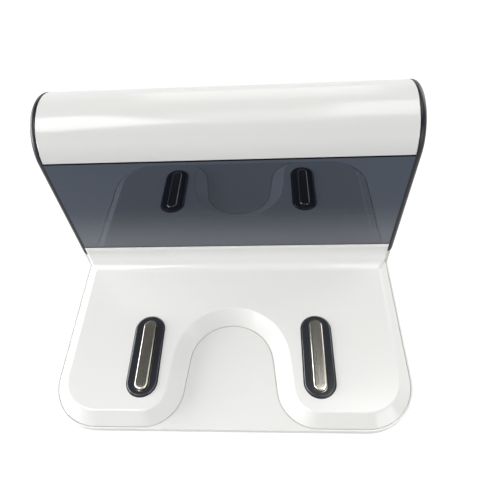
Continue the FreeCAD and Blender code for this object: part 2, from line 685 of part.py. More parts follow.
def contact_strip(side):
    """Plated bar with ends that curve down, on a shoulder that keeps it in the slot."""
    x = contact_x(side)
    half = STRIP_LENGTH / 2
    flat = half - STRIP_END
    bend = (STRIP_END ** 2 + STRIP_END_DROP ** 2) / (2 * STRIP_END_DROP)
    angle = math.asin(STRIP_END / bend) / 2
    x0 = x - STRIP_WIDTH / 2

    def profile_point(along, drop):
        return Vector(x0, CONTACT_Y + along, STRIP_TOP - drop)

    middle_along = flat + bend * math.sin(angle)
    middle_drop = bend * (1 - math.cos(angle))
    depth = STRIP_TOP - FLANGE_UNDERSIDE
    front_end, rear_end = profile_point(-half, STRIP_END_DROP), profile_point(half, STRIP_END_DROP)
    front_foot, rear_foot = profile_point(-half, depth), profile_point(half, depth)
    edges = [
        line(front_foot, front_end),
        arc(front_end, profile_point(-middle_along, middle_drop), profile_point(-flat, 0)),
        line(profile_point(-flat, 0), profile_point(flat, 0)),
        arc(profile_point(flat, 0), profile_point(middle_along, middle_drop), rear_end),
        line(rear_end, rear_foot),
        line(rear_foot, front_foot),
    ]
    bar = prism(Part.Wire(edges), Vector(STRIP_WIDTH, 0, 0))
    bar = bar.common(stadium(STRIP_LENGTH, STRIP_WIDTH, x, CONTACT_Y, FLANGE_UNDERSIDE, STRIP_TOP))
    bar = rounded(bar, STRIP_ROUND, is_strip_edge)
    shoulder = stadium(STRIP_LENGTH + 2 * STRIP_FLANGE, STRIP_WIDTH + 2 * STRIP_FLANGE, x, CONTACT_Y,
                       FLANGE_UNDERSIDE, FLANGE_TOP)
    return fused(bar, shoulder)


def is_strip_edge(edge):
    """True for the rim of the bar's top, and not for the lines across it where the ends begin."""
    bounds = edge.BoundBox
    across = bounds.YLength < 1e-4 and bounds.XLength > STRIP_WIDTH / 2
    return bounds.ZMin > STRIP_TOP - STRIP_END_DROP - 1e-3 and not across


def contact_spring(side, end):
    """Coil of slanted half turns between the terminal and the shoulder of the bar."""
    height = FLANGE_UNDERSIDE - TERMINAL_TOP - SPRING_WIRE - SPRING_PLAY
    rise = height / SPRING_HALF_TURNS
    half_turns = []
    for index in range(SPRING_HALF_TURNS):
        way = 1 if index % 2 == 0 else -1
        start = Vector(way * SPRING_RADIUS, 0, index * rise)
        stop = Vector(-way * SPRING_RADIUS, 0, (index + 1) * rise)
        ring = Part.Face(Part.Wire(Part.Circle(start, BACKWARD, SPRING_WIRE / 2).toShape()))
        axis = Vector(0, way, 0).cross(stop - start)
        half_turns.append(ring.revolve((start + stop) / 2, axis, 180))
    coil = half_turns[0].fuse(half_turns[1:])
    y = CONTACT_Y + end * SPRING_SPREAD / 2
    coil.translate(Vector(contact_x(side), y, TERMINAL_TOP + SPRING_WIRE / 2))
    return coil


def contact_terminal(side):
    x = contact_x(side)
    half = TERMINAL_WIDTH / 2
    pocket = STRIP_LENGTH / 2 + STRIP_FLANGE + STRIP_CLEARANCE - TERMINAL_END
    strip = box(x - half, x + half, CONTACT_Y - pocket, CONTACT_Y + pocket, PLATE_TOP, TERMINAL_TOP)
    return rounded(strip, TERMINAL_CORNER, lambda edge: edge.BoundBox.ZLength > TERMINAL_THICKNESS / 2)


def contact_lead(side):
    """Lead from the terminal, along the bottom plate and up to the power board."""
    x = contact_x(side)
    low = TERMINAL_TOP + LEAD_RADIUS
    start = CONTACT_Y + STRIP_LENGTH / 2 - TERMINAL_END
    rise = TAIL_REAR + 2 * LEAD_RADIUS
    turn = POWER_BOARD_FOOT - LEAD_SLACK
    end_x = (POWER_BOARD_LEFT + POWER_BOARD_RIGHT) / 2 + side * LEAD_SPREAD
    end_z = POWER_BOARD_FOOT + LEAD_SLACK
    return lead([
        Vector(x, start, low),
        Vector(x, rise, low),
        Vector(x, rise, turn),
        Vector(end_x, POWER_BOARD_FRONT - 2 * LEAD_SLACK, turn),
        Vector(end_x, POWER_BOARD_FRONT - LEAD_SLACK, end_z),
        Vector(end_x, POWER_BOARD_FRONT, end_z),
    ])


# Tower

def niche_space():
    """Recess at the back for the mains plug, with a groove for its cord out to the right."""
    behind = BACK_Y + OVERCUT
    top = NICHE_FLOOR + NICHE_HEIGHT
    main = box(NICHE_LEFT, NICHE_RIGHT, BACK_Y - NICHE_DEPTH, behind, NICHE_FLOOR, top)
    groove = box(NICHE_RIGHT - OVERCUT, TOWER_HALF + OVERCUT, BACK_Y - CORD_GROOVE_DEPTH, behind,
                 NICHE_FLOOR, NICHE_FLOOR + CORD_GROOVE_HEIGHT)
    return main, groove


def niche_walls():
    low = NICHE_FLOOR - NICHE_WALL
    main = box(NICHE_LEFT - NICHE_WALL, NICHE_RIGHT + NICHE_WALL, BACK_Y - NICHE_DEPTH - NICHE_WALL,
               BACK_INNER_Y, low, NICHE_FLOOR + NICHE_HEIGHT + NICHE_WALL)
    groove = box(NICHE_RIGHT, INNER_HALF, BACK_Y - CORD_GROOVE_DEPTH - NICHE_WALL, BACK_INNER_Y,
                 low, NICHE_FLOOR + CORD_GROOVE_HEIGHT + NICHE_WALL)
    return main, groove


def inlet_cut(clearance):
    """Body of the inlet where it passes through the wall of the recess."""
    half_y = INLET_DEPTH / 2 + clearance
    half_z = INLET_HEIGHT / 2 + clearance
    return box(INLET_END, NICHE_LEFT, INLET_Y - half_y, INLET_Y + half_y, INLET_Z - half_z, INLET_Z + half_z)


def rolled_shell():
    """Curved top and upright back, with a rounded lip over the window and a rebate for its tongue."""
    beyond = INNER_HALF + OVERCUT
    outer = tower_section(0, UNDERSIDE, -INNER_HALF, INNER_HALF)
    inner = tower_section(SHELL_WALL, UNDERSIDE - OVERCUT, -beyond, beyond)
    front = box(-beyond, beyond, FRONT_Y, CROWN_Y, 0, WINDOW_TOP)
    shell = outer.cut([inner, front])
    lip_y = shell.BoundBox.YMin + SHELL_WALL / 2
    shell = rounded(shell, SHELL_LIP_ROUND, lambda edge: is_lip(edge, lip_y) or is_shell_end(edge))
    tongue_front = WINDOW_BACK - TONGUE_THICKNESS - FIT
    tongue_top = WINDOW_TOP + TONGUE_HEIGHT + FIT
    return shell.cut(leaning_slab(tongue_front, WINDOW_BACK + FIT, WINDOW_TOP - OVERCUT, tongue_top,
                                  -beyond, beyond))


def tower_shell():
    root = BACK_INNER_Y + SHELL_WALL / 4
    post_end = EMITTER_BOARD_Y + EMITTER_BOARD_THICKNESS
    boss_top = PLATE_TOP + BACK_BOSS_HEIGHT
    extras = list(niche_walls())
    for x, z in power_board_holes():
        extras.append(rod(POST_RADIUS, Vector(x, root, z), FORWARD, root - POWER_BOARD_BACK))
    for x, z in post_places():
        extras.append(rod(POST_RADIUS, Vector(x, root, z), FORWARD, root - post_end))
    for x, y in back_screws():
        web = BOSS_RADIUS / 2
        extras.append(rod(BOSS_RADIUS, Vector(x, y, PLATE_TOP), UP, BACK_BOSS_HEIGHT))
        extras.append(box(x - web, x + web, y, root, PLATE_TOP, boss_top))
    shell = fused(rolled_shell(), *extras)

    cuts = list(niche_space()) + [inlet_cut(FIT)]
    for x, y in back_screws():
        cuts.append(rod(SCREW_RADIUS, Vector(x, y, UNDERSIDE), UP, SCREW_LENGTH))
    for x, z in power_board_holes():
        cuts.append(rod(SCREW_RADIUS, Vector(x, POWER_BOARD_FRONT, z), BACKWARD, SCREW_LENGTH))
    for x, z in post_places():
        cuts.append(rod(SCREW_RADIUS, Vector(x, EMITTER_BOARD_Y, z), BACKWARD, SCREW_LENGTH))
    return shell.cut(cuts)


def is_lip(edge, lip_y):
    """Long front edge of the shell's lip."""
    return lies_at(edge, "Z", WINDOW_TOP) and edge.BoundBox.YMax < lip_y and edge.BoundBox.XLength > 1


def is_shell_end(edge):
    """Outer edge of the rolled top or the back at either end of the shell."""
    at_end = lies_at(edge, "X", INNER_HALF) or lies_at(edge, "X", -INNER_HALF)
    bounds = edge.BoundBox
    top = abs(bounds.ZMax - HEIGHT) < 1e-3
    back = abs(bounds.YMin - BACK_Y) < 1e-3
    return at_end and (top or back)


def signal_window():
    half = INNER_HALF - SEAM
    seat = DECK + WINDOW_SEAT
    pane = leaning_slab(WINDOW_RECESS, WINDOW_BACK, seat, WINDOW_TOP - SHADOW_GAP, -half, half)
    tongue = leaning_slab(WINDOW_BACK - TONGUE_THICKNESS, WINDOW_BACK, seat, WINDOW_TOP + TONGUE_HEIGHT,
                          -half, half)
    return fused(pane, tongue)


def left_end_cap():
    outer = tower_section(0, CAP_FOOT, -TOWER_HALF, -INNER_HALF)
    outer = rounded(outer, CAP_ROUND, lambda edge: lies_at(edge, "X", -TOWER_HALF))
    inset = max(SHELL_WALL, WINDOW_BACK) + FIT
    rib_end = CAP_RIB_DEPTH - INNER_HALF
    rib = tower_section(inset, CAP_RIB_FOOT, -INNER_HALF, rib_end)
    hollow = tower_section(inset + CAP_RIB, CAP_RIB_FOOT - OVERCUT, -INNER_HALF, rib_end)
    return fused(outer, rib.cut(hollow))


def right_end_cap():
    return mirrored(left_end_cap()).cut(niche_space()[1])


# Mains inlet

def inlet_housing():
    body = inlet_cut(0)
    half_y = INLET_DEPTH / 2 + INLET_FLANGE
    half_z = INLET_HEIGHT / 2 + INLET_FLANGE
    face = NICHE_LEFT + INLET_FLANGE_THICKNESS
    flange = box(NICHE_LEFT, face, INLET_Y - half_y, INLET_Y + half_y, INLET_Z - half_z, INLET_Z + half_z)
    flange = rounded(flange, INLET_FLANGE, lambda edge: edge.BoundBox.XLength > INLET_FLANGE_THICKNESS / 2)
    cuts = []
    for x, z in pin_places():
        cuts.append(rod(SOCKET_RADIUS, Vector(x, INLET_Y, z), RIGHT, SOCKET_DEPTH))
        cuts.append(rod(PIN_RADIUS, Vector(INLET_END, INLET_Y, z), RIGHT, INLET_LENGTH))
    waist = SOCKET_RADIUS * SOCKET_WAIST
    cuts.append(box(face - SOCKET_DEPTH, face, INLET_Y - waist, INLET_Y + waist,
                    INLET_Z - SOCKET_PITCH / 2, INLET_Z + SOCKET_PITCH / 2))
    return fused(body, flange).cut(cuts)


def pin_places():
    x = NICHE_LEFT + INLET_FLANGE_THICKNESS - SOCKET_DEPTH
    return [(x, INLET_Z + side * SOCKET_PITCH / 2) for side in (-1, 1)]


def inlet_pins():
    pins = []
    for x, z in pin_places():
        end = x + PIN_LENGTH
        pin = rod(PIN_RADIUS, Vector(INLET_END, INLET_Y, z), RIGHT, end - INLET_END)
        pins.append(rounded(pin, PIN_RADIUS / 2, lambda edge: lies_at(edge, "X", end)))
    return Part.makeCompound(pins)


def mains_leads():
    """Two leads from the back of the inlet up to the power board."""
    front = POWER_BOARD_FRONT - LEAD_SLACK
    end_z = POWER_BOARD_FOOT + LEAD_SLACK
    leads = []
    for index, (_, z) in enumerate(pin_places()):
        x = INLET_END - LEAD_STUB - LEAD_PITCH * index
        leads.append(lead([
            Vector(INLET_END, INLET_Y, z),
            Vector(x, INLET_Y, z),
            Vector(x, front, POWER_BOARD_FOOT - LEAD_SLACK),
            Vector(x, front, end_z),
            Vector(x, POWER_BOARD_FRONT, end_z),
        ]))
    return Part.makeCompound(leads)


# Boards and what they carry

def emitter_board():
    half = HALF_WIDTH - EMITTER_BOARD_EDGE
    back = EMITTER_BOARD_Y + EMITTER_BOARD_THICKNESS
    top = EMITTER_BOARD_FOOT + EMITTER_BOARD_HEIGHT
    board = box(-half, half, EMITTER_BOARD_Y, back, EMITTER_BOARD_FOOT, top)
    return board.cut(screw_holes(post_places(), EMITTER_BOARD_Y, EMITTER_BOARD_THICKNESS))


def screw_holes(places, front, thickness):
    """Clearance holes through an upright board."""
    return [rod(SCREW_RADIUS + SCREW_SPACE, Vector(x, front, z), BACKWARD, thickness) for x, z in places]


def emitters():
    """Dome-ended infrared emitters on the front of their board."""
    bodies = []
    for x in emitter_places():
        root = Vector(x, EMITTER_BOARD_Y, EMITTER_Z)
        straight = EMITTER_LENGTH - EMITTER_RADIUS
        collar = rod(EMITTER_RADIUS + EMITTER_FLANGE, root, FORWARD, EMITTER_FLANGE_LENGTH)
        barrel = rod(EMITTER_RADIUS, root, FORWARD, straight)
        dome = Part.makeSphere(EMITTER_RADIUS, root + FORWARD * straight)
        bodies.append(fused(collar, barrel, dome))
    return Part.makeCompound(bodies)


def light_baffle():
    """Black bar of light horns, one round each emitter."""
    z0 = EMITTER_BOARD_FOOT + BAFFLE_MARGIN
    bar = box(-BAFFLE_HALF, BAFFLE_HALF, BAFFLE_Y, EMITTER_BOARD_Y, z0, BAFFLE_TOP)
    mouth_x = EMITTER_PITCH / 2 - BAFFLE_WALL / 2
    mouth_z = (BAFFLE_TOP - z0) / 2 - BAFFLE_WALL
    horns = []
    for x in emitter_places():
        throat = rectangle(x, EMITTER_BOARD_Y, EMITTER_Z, BAFFLE_HOLE, BAFFLE_HOLE)
        mouth = rectangle(x, BAFFLE_Y, EMITTER_Z, mouth_x, mouth_z)
        horns.append(Part.makeLoft([throat, mouth], True, True))
    return bar.cut(horns)


def rectangle(x, y, z, half_x, half_z):
    signs = ((-1, -1), (1, -1), (1, 1), (-1, 1))
    corners = [Vector(x + a * half_x, y, z + b * half_z) for a, b in signs]
    return Part.makePolygon(corners + corners[:1])


def power_board():
    board = box(POWER_BOARD_LEFT, POWER_BOARD_RIGHT, POWER_BOARD_FRONT, POWER_BOARD_BACK,
                POWER_BOARD_FOOT, POWER_BOARD_FOOT + POWER_BOARD_HEIGHT)
    return board.cut(screw_holes(power_board_holes(), POWER_BOARD_FRONT, POWER_BOARD_THICKNESS))


def board_screws():
    places = [(x, POWER_BOARD_FRONT, z) for x, z in power_board_holes()]
    places += [(x, EMITTER_BOARD_Y, z) for x, z in post_places()]
    screws = []
    for x, y, z in places:
        face = Vector(x, y, z)
        top = face + FORWARD * SCREW_HEAD_HEIGHT
        head = rod(SCREW_HEAD_RADIUS, face, FORWARD, SCREW_HEAD_HEIGHT)
        head = rounded(head, SCREW_HEAD_HEIGHT / 2, lambda edge: lies_at(edge, "Y", top.y))
        shank = rod(SCREW_RADIUS, face, BACKWARD, SCREW_LENGTH)
        screws.append(fused(head, shank).cut(cross_recess(top, BACKWARD)))
    return Part.makeCompound(screws)


def transformer_place():
    return Vector(TRANSFORMER_X, POWER_BOARD_FRONT - WINDING_DEPTH / 2, COMPONENT_Z)


def centred_box(centre, size_x, size_y, size_z):
    return box(centre.x - size_x / 2, centre.x + size_x / 2, centre.y - size_y / 2, centre.y + size_y / 2,
               centre.z - size_z / 2, centre.z + size_z / 2)


def transformer_core():
    """Ferrite frame with a middle leg."""
    centre = transformer_place()
    window_x = CORE_WIDTH / 2 - 2 * CORE_LEG
    window_z = CORE_HEIGHT - 2 * CORE_LEG
    core = centred_box(centre, CORE_WIDTH, CORE_DEPTH, CORE_HEIGHT)
    shift = Vector(CORE_LEG + window_x / 2, 0, 0)
    return core.cut([centred_box(centre + shift, window_x, CORE_DEPTH, window_z),
                     centred_box(centre - shift, window_x, CORE_DEPTH, window_z)])


def transformer_winding():
    centre = transformer_place()
    width = CORE_WIDTH - 2 * CORE_LEG - 2 * FIT
    height = CORE_HEIGHT - 2 * CORE_LEG
    coil = centred_box(centre, width, WINDING_DEPTH, height)
    coil = rounded(coil, WINDING_DEPTH / 5, lambda edge: edge.BoundBox.ZLength > height / 2)
    return coil.cut(centred_box(centre, 2 * CORE_LEG, CORE_DEPTH, height))


def capacitor(radius, length, x):
    can = rod(radius, Vector(x, POWER_BOARD_FRONT, COMPONENT_Z), FORWARD, length)
    return rounded(can, radius / 8, lambda edge: lies_at(edge, "Y", POWER_BOARD_FRONT - length))


def mains_capacitor():
    return capacitor(MAINS_CAPACITOR_RADIUS, MAINS_CAPACITOR_LENGTH, MAINS_CAPACITOR_X)


def output_capacitor():
    return capacitor(OUTPUT_CAPACITOR_RADIUS, OUTPUT_CAPACITOR_LENGTH, OUTPUT_CAPACITOR_X)


def filter_choke():
    """Drum core with its waist wound full."""
    foot_point = Vector(CHOKE_X, POWER_BOARD_FRONT, COMPONENT_Z)
    cheek = CHOKE_LENGTH / 6
    drum = rod(CHOKE_RADIUS, foot_point, FORWARD, cheek)
    waist = rod(CHOKE_WAIST, foot_point, FORWARD, CHOKE_LENGTH)
    lid = rod(CHOKE_RADIUS, foot_point + FORWARD * (CHOKE_LENGTH - cheek), FORWARD, cheek)
    return fused(drum, waist, lid)


def board_lead():
    """Lead between the two boards."""
    x = MAINS_CAPACITOR_X - MAINS_CAPACITOR_RADIUS
    far_x = x + BOARD_LEAD_SHIFT
    z = POWER_BOARD_FOOT + LEAD_REACH
    end_z = z - LEAD_SLACK
    start = EMITTER_BOARD_Y + EMITTER_BOARD_THICKNESS
    return lead([
        Vector(far_x, start, z),
        Vector(far_x, start + LEAD_STUB, z),
        Vector(x, POWER_BOARD_FRONT - LEAD_STUB, end_z),
        Vector(x, POWER_BOARD_FRONT, end_z),
    ])


def ballast_plate():
    left = BALLAST_EDGE - HALF_WIDTH
    back = BALLAST_Y + BALLAST_DEPTH
    return box(left, BALLAST_RIGHT, BALLAST_Y, back, PLATE_TOP, PLATE_TOP + BALLAST_HEIGHT)


def all_parts():
    parts = {
        "base_cover": base_cover(),
        "bottom_plate": bottom_plate(),
        "tower_shell": tower_shell(),
        "signal_window": signal_window(),
        "left_end_cap": left_end_cap(),
        "right_end_cap": right_end_cap(),
        "bottom_screws": Part.makeCompound([countersunk_screw(x, y) for x, y in bottom_screw_places()]),
        "inlet_housing": inlet_housing(),
        "inlet_pins": inlet_pins(),
        "mains_leads": mains_leads(),
        "emitter_board": emitter_board(),
        "emitters": emitters(),
        "light_baffle": light_baffle(),
        "power_board": power_board(),
        "board_screws": board_screws(),
        "transformer_core": transformer_core(),
        "transformer_winding": transformer_winding(),
        "mains_capacitor": mains_capacitor(),
        "output_capacitor": output_capacitor(),
        "filter_choke": filter_choke(),
        "board_lead": board_lead(),
        "ballast_plate": ballast_plate(),
    }
    for name, (x, y) in zip(("front_left", "front_right", "rear_left", "rear_right"), foot_places()):
        parts[name + "_foot"] = foot(x, y)
    for name, side in (("left", -1), ("right", 1)):
        parts[name + "_contact_bezel"] = contact_bezel(side)
        parts[name + "_contact_strip"] = contact_strip(side)
        parts[name + "_contact_terminal"] = contact_terminal(side)
        parts[name + "_contact_lead"] = contact_lead(side)
        parts[name + "_front_spring"] = contact_spring(side, -1)
        parts[name + "_rear_spring"] = contact_spring(side, 1)
    return parts


os.makedirs("parts", exist_ok=True)
for node, shape in all_parts().items():
    shape.exportStep("parts/" + node + ".step")
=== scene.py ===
import json
import math

import bmesh
import bpy
from bpy.props import FloatProperty, FloatVectorProperty, IntProperty, PointerProperty
from mathutils import Matrix, Vector

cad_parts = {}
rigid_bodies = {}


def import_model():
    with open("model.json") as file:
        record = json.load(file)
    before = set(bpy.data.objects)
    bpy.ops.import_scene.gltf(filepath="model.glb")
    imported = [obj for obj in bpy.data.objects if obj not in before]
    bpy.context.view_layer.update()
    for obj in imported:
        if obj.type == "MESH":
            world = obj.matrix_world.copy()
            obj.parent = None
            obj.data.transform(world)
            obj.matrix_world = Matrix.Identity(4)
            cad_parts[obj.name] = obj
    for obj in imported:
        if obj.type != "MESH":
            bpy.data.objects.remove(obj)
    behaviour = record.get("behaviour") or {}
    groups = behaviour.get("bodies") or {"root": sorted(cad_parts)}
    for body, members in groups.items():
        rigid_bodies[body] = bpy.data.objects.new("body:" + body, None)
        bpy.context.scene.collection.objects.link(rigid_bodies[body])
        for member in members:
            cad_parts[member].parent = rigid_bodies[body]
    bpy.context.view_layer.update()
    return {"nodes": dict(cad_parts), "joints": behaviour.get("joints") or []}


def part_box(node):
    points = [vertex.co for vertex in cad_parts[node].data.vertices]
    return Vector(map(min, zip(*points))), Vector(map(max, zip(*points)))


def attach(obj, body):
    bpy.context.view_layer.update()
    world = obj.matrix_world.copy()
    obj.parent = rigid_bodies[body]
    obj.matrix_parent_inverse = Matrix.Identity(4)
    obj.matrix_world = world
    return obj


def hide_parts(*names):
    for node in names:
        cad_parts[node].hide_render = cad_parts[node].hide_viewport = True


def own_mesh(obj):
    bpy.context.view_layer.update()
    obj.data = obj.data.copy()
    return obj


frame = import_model()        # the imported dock: its bodies, nodes, joints and record
MM = 0.001
LAMP_DISTANCE = 0.9      # lamps from the middle of the floor
SENSOR_WIDTH = 36.0      # millimetres, for the camera's lens
FLOOR_NEAR = 0.15        # the floor is lit paper up to this distance from the middle
FLOOR_FAR = 0.45         # and plain white from this one
SWEEP_TOP = 0.35         # the white sweep begins to fade at this sine of the elevation
CEILING = 0.6            # and is gone at this one, where the dim ceiling begins
SHARP_EDGE = math.radians(40)
ROUND_STEPS = 6          # steps in a quarter round

bl_info = {
    "name": "Charging dock dresser",
    "version": (1, 0, 0),
    "blender": (4, 5, 0),
    "location": "View3D > Sidebar > Dock",
    "description": "Finishes, small pieces and a studio for a robot vacuum charging dock",
    "category": "Object",
}


# Settings

def colour_setting(name, description, default):
    return FloatVectorProperty(name=name, description=description, default=default,
                               subtype="COLOR", size=3, min=0.0, max=1.0)


def length_setting(name, description, default):
    return FloatProperty(name=name, description=description, default=default, unit="LENGTH", min=0.0)


def power_setting(name, description, default):
    return FloatProperty(name=name, description=description, default=default, unit="POWER", min=0.0)


def share_setting(name, description, default):
    return FloatProperty(name=name, description=description, default=default,
                         subtype="FACTOR", min=0.0, max=1.0)


def count_setting(name, description, default, least):
    return IntProperty(name=name, description=description, default=default, min=least)


class DockFinishes(bpy.types.PropertyGroup):
    """Colours and gloss of the dock's materials."""

    white: colour_setting("White plastic", "Glossy mouldings of the base and the tower", (0.76, 0.765, 0.75))
    white_shade: colour_setting("White drift", "Slightly warmer white that drifts through it",
                                (0.745, 0.745, 0.725))
    # Painted shade: the tower's white is the base's white darkened by this share.
    tower_shade_share: share_setting("Tower white", "White of the tower beside that of the base", 0.89)
    white_roughness: share_setting("White roughness", "Polish of the white mouldings", 0.13)
    smoke: colour_setting("Smoked window", "Body colour of the infrared window", (0.006, 0.006, 0.009))
    # Painted reflection: a pale glow painted into the window's colour at its foot, standing in for the lit
    # deck that the window mirrors.
    painted_foot_glow: colour_setting("Window foot", "Pale bloom where the window meets the base",
                               (0.11, 0.107, 0.112))
    smoke_index: FloatProperty(name="Window index", default=1.8, min=1.0, max=3.0,
                               description="Refractive index that sets how much the window mirrors")
    smoke_sheen: colour_setting("Window sheen", "Tint of what the window mirrors", (0.63, 0.77, 1.0))
    black: colour_setting("Polished black", "Contact bezels", (0.016, 0.018, 0.023))
    nickel: colour_setting("Nickel", "Plated contact bars", (0.61, 0.59, 0.53))
    rubber: colour_setting("Rubber", "Feet", (0.022, 0.022, 0.023))
    mask_green: colour_setting("Solder mask", "Both boards", (0.012, 0.105, 0.040))


class DockDetails(bpy.types.PropertyGroup):
    """Sizes of the small pieces that the solids leave plain."""

    tread_rings: count_setting("Tread rings", "Concentric ribs under each foot", 4, 1)
    tread_depth: length_setting("Tread depth", "Depth of the grooves between the ribs", 0.3 * MM)
    foot_sides: count_setting("Foot sides", "Steps round each foot", 64, 12)
    bar_shoulder: length_setting("Bar shoulder", "Shoulder round the foot of each contact bar", 0.8 * MM)
    shoulder_height: length_setting("Shoulder height", "Thickness of that shoulder", 0.7 * MM)
    bar_round: length_setting("Bar rounding", "Rounded rim of each contact bar", 0.5 * MM)
    bar_nose: length_setting("Bar nose", "Length of the front end that turns down", 3.2 * MM)
    nose_drop: length_setting("Nose drop", "How far the front end turns down", 0.15 * MM)
    bar_sides: count_setting("Bar sides", "Steps round each end of a contact bar", 24, 6)
    spring_wire: length_setting("Spring wire", "Thickness of the wire of the coil springs", 0.4 * MM)
    spring_turns: count_setting("Spring turns", "Turns of each coil spring", 3, 1)
    spring_steps: count_setting("Spring steps", "Steps in each turn", 32, 8)
    wire_sides: count_setting("Wire sides", "Steps round the wire", 12, 5)


class DockStudio(bpy.types.PropertyGroup):
    """Camera, lamps and floor."""

    camera_place: FloatVectorProperty(name="Camera place", description="Where the camera stands",
                                      default=(0.01443, -0.09399, 0.1652),
                                      subtype="TRANSLATION", unit="LENGTH")
    camera_heading: FloatProperty(name="Camera heading", description="Turn about the vertical",
                                  default=math.radians(5.931), subtype="ANGLE")
    camera_pitch: FloatProperty(name="Camera pitch", description="Turn up from looking straight down",
                                default=math.radians(37.563), subtype="ANGLE")
    camera_roll: FloatProperty(name="Camera roll", description="Turn about the line of sight",
                               default=math.radians(-5.539), subtype="ANGLE")
    camera_lens: FloatProperty(name="Camera lens", description="Focal length in millimetres",
                               default=33.74, min=1.0)
    back_glow: share_setting("Back glow", "Level of the pale wall behind the dock", 0.16)
    left_softbox: power_setting("Left softbox", "Wide low key on the left", 11.5)
    left_shoulder: power_setting("Left shoulder", "Soft light over the left shoulder", 3.2)
    right_low: power_setting("Right low", "Low fill from the front on the right", 2.6)
    right_high: power_setting("Right high", "Panel high on the right", 2.8)
    back_right: power_setting("Back right", "Low light from behind on the right", 2.7)
    back_high: power_setting("Back high", "Weak light from behind", 1.25)
    overhead: power_setting("Overhead", "Small panel above the deck", 0.75)
    underside: power_setting("Underside", "Lamp under the floor, for views from beneath", 2.4)
    floor_radius: length_setting("Floor radius", "Size of the pale floor", 4.0)


# Node materials

class Socket:
    """Output of a shader node that takes part in sums: each operation adds a Math node."""

    def __init__(self, finish, output):
        self.finish = finish
        self.output = output

    def joined(self, operation, first, second):
        return self.finish.node("ShaderNodeMath", {"operation": operation}, {0: first, 1: second})

    def __add__(self, other):
        return self.joined("ADD", self, other)

    __radd__ = __add__

    def __mul__(self, other):
        return self.joined("MULTIPLY", self, other)

    __rmul__ = __mul__

    def __sub__(self, other):
        return self.joined("SUBTRACT", self, other)

    def __rsub__(self, other):
        return self.joined("SUBTRACT", other, self)


class Finish:
    """A node tree under construction, on a material or the world."""

    def __init__(self, owner):
        self.owner = owner
        owner.use_nodes = True
        self.nodes = owner.node_tree.nodes
        self.links = owner.node_tree.links
        self.nodes.clear()

    def node(self, kind, settings=None, sockets=None, output=0):
        """Adds a node, sets it up, then feeds its sockets with numbers, colours or other sockets."""
        made = self.nodes.new(kind)
        for name, value in (settings or {}).items():
            setattr(made, name, value)
        for key, value in (sockets or {}).items():
            self.feed(made.inputs[key], value)
        return Socket(self, made.outputs[output]) if made.outputs else None

    def feed(self, target, value):
        if isinstance(value, Socket):
            self.links.new(value.output, target)
        elif target.type == "RGBA":
            target.default_value = (*value, 1.0)
        else:
            target.default_value = value

    def place(self, stretch=(1, 1, 1)):
        """Position on the dock in metres, squeezed along the axes."""
        here = self.node("ShaderNodeTexCoord", output="Object")
        return self.node("ShaderNodeVectorMath", {"operation": "MULTIPLY"}, {0: here, 1: stretch})

    def noise(self, size, stretch=(1, 1, 1), detail=2.0):
        """Cloudy value from 0 to 1 with features of that size."""
        return self.node("ShaderNodeTexNoise", None,
                         {"Vector": self.place(stretch), "Scale": 1 / size, "Detail": detail})

    def mix(self, factor, first, second):
        return self.node("ShaderNodeMix", {"data_type": "RGBA"}, {0: factor, 6: first, 7: second}, 2)

    def ease(self, value, low, high):
        """0 below low, 1 above high and a smooth step between."""
        return self.node("ShaderNodeMapRange", {"interpolation_type": "SMOOTHSTEP"},
                         {"Value": value, "From Min": low, "From Max": high})

    def bump(self, height, distance):
        """Normal of a relief of that depth."""
        return self.node("ShaderNodeBump", None, {"Height": height, "Distance": distance, "Strength": 1.0})

    def seen(self, *kinds):
        """1 for rays of these kinds, such as those that come from the camera or from a mirror."""
        flags = [self.node("ShaderNodeLightPath", output="Is %s Ray" % kind) for kind in kinds]
        return sum(flags[1:], flags[0])

    def surface(self, sockets):
        """Ends the tree in one principled surface."""
        shader = self.node("ShaderNodeBsdfPrincipled", None, sockets)
        self.node("ShaderNodeOutputMaterial", None, {"Surface": shader})
        return self.owner


def new_finish(name):
    return Finish(bpy.data.materials.new(name))


def darker(colour, share):
    return tuple(channel * share for channel in colour)


# Finishes of the dock

def white_gloss(finishes, name, share):
    """Glossy white moulding, with a slow drift of tone and a trace of ripple."""
    finish = new_finish(name)
    drift = finish.noise(40 * MM)
    haze = finish.noise(5 * MM, detail=4.0)
    peel = finish.noise(1.5 * MM)
    return finish.surface({
        "Base Color": finish.mix(drift, darker(finishes.white, share), darker(finishes.white_shade, share)),
        "Roughness": haze * 0.05 + finishes.white_roughness,
        "Normal": finish.bump(peel, 0.004 * MM),
    })


def white_tray(finishes):
    """Gloss white above and a fine matt texture on the faces that point down."""
    finish = new_finish("white_tray")
    drift = finish.noise(40 * MM)
    haze = finish.noise(5 * MM, detail=4.0)
    grain = finish.noise(0.35 * MM, detail=3.0)
    upward = finish.node("ShaderNodeSeparateXYZ", None,
                         {"Vector": finish.node("ShaderNodeTexCoord", output="Normal")}, "Z")
    under = finish.ease(0 - upward, 0.6, 0.9)
    return finish.surface({
        "Base Color": finish.mix(drift, finishes.white, finishes.white_shade),
        "Roughness": haze * 0.05 + finishes.white_roughness + under * (grain * 0.15 + 0.35),
        "Normal": finish.bump(under * grain, 0.03 * MM),
    })


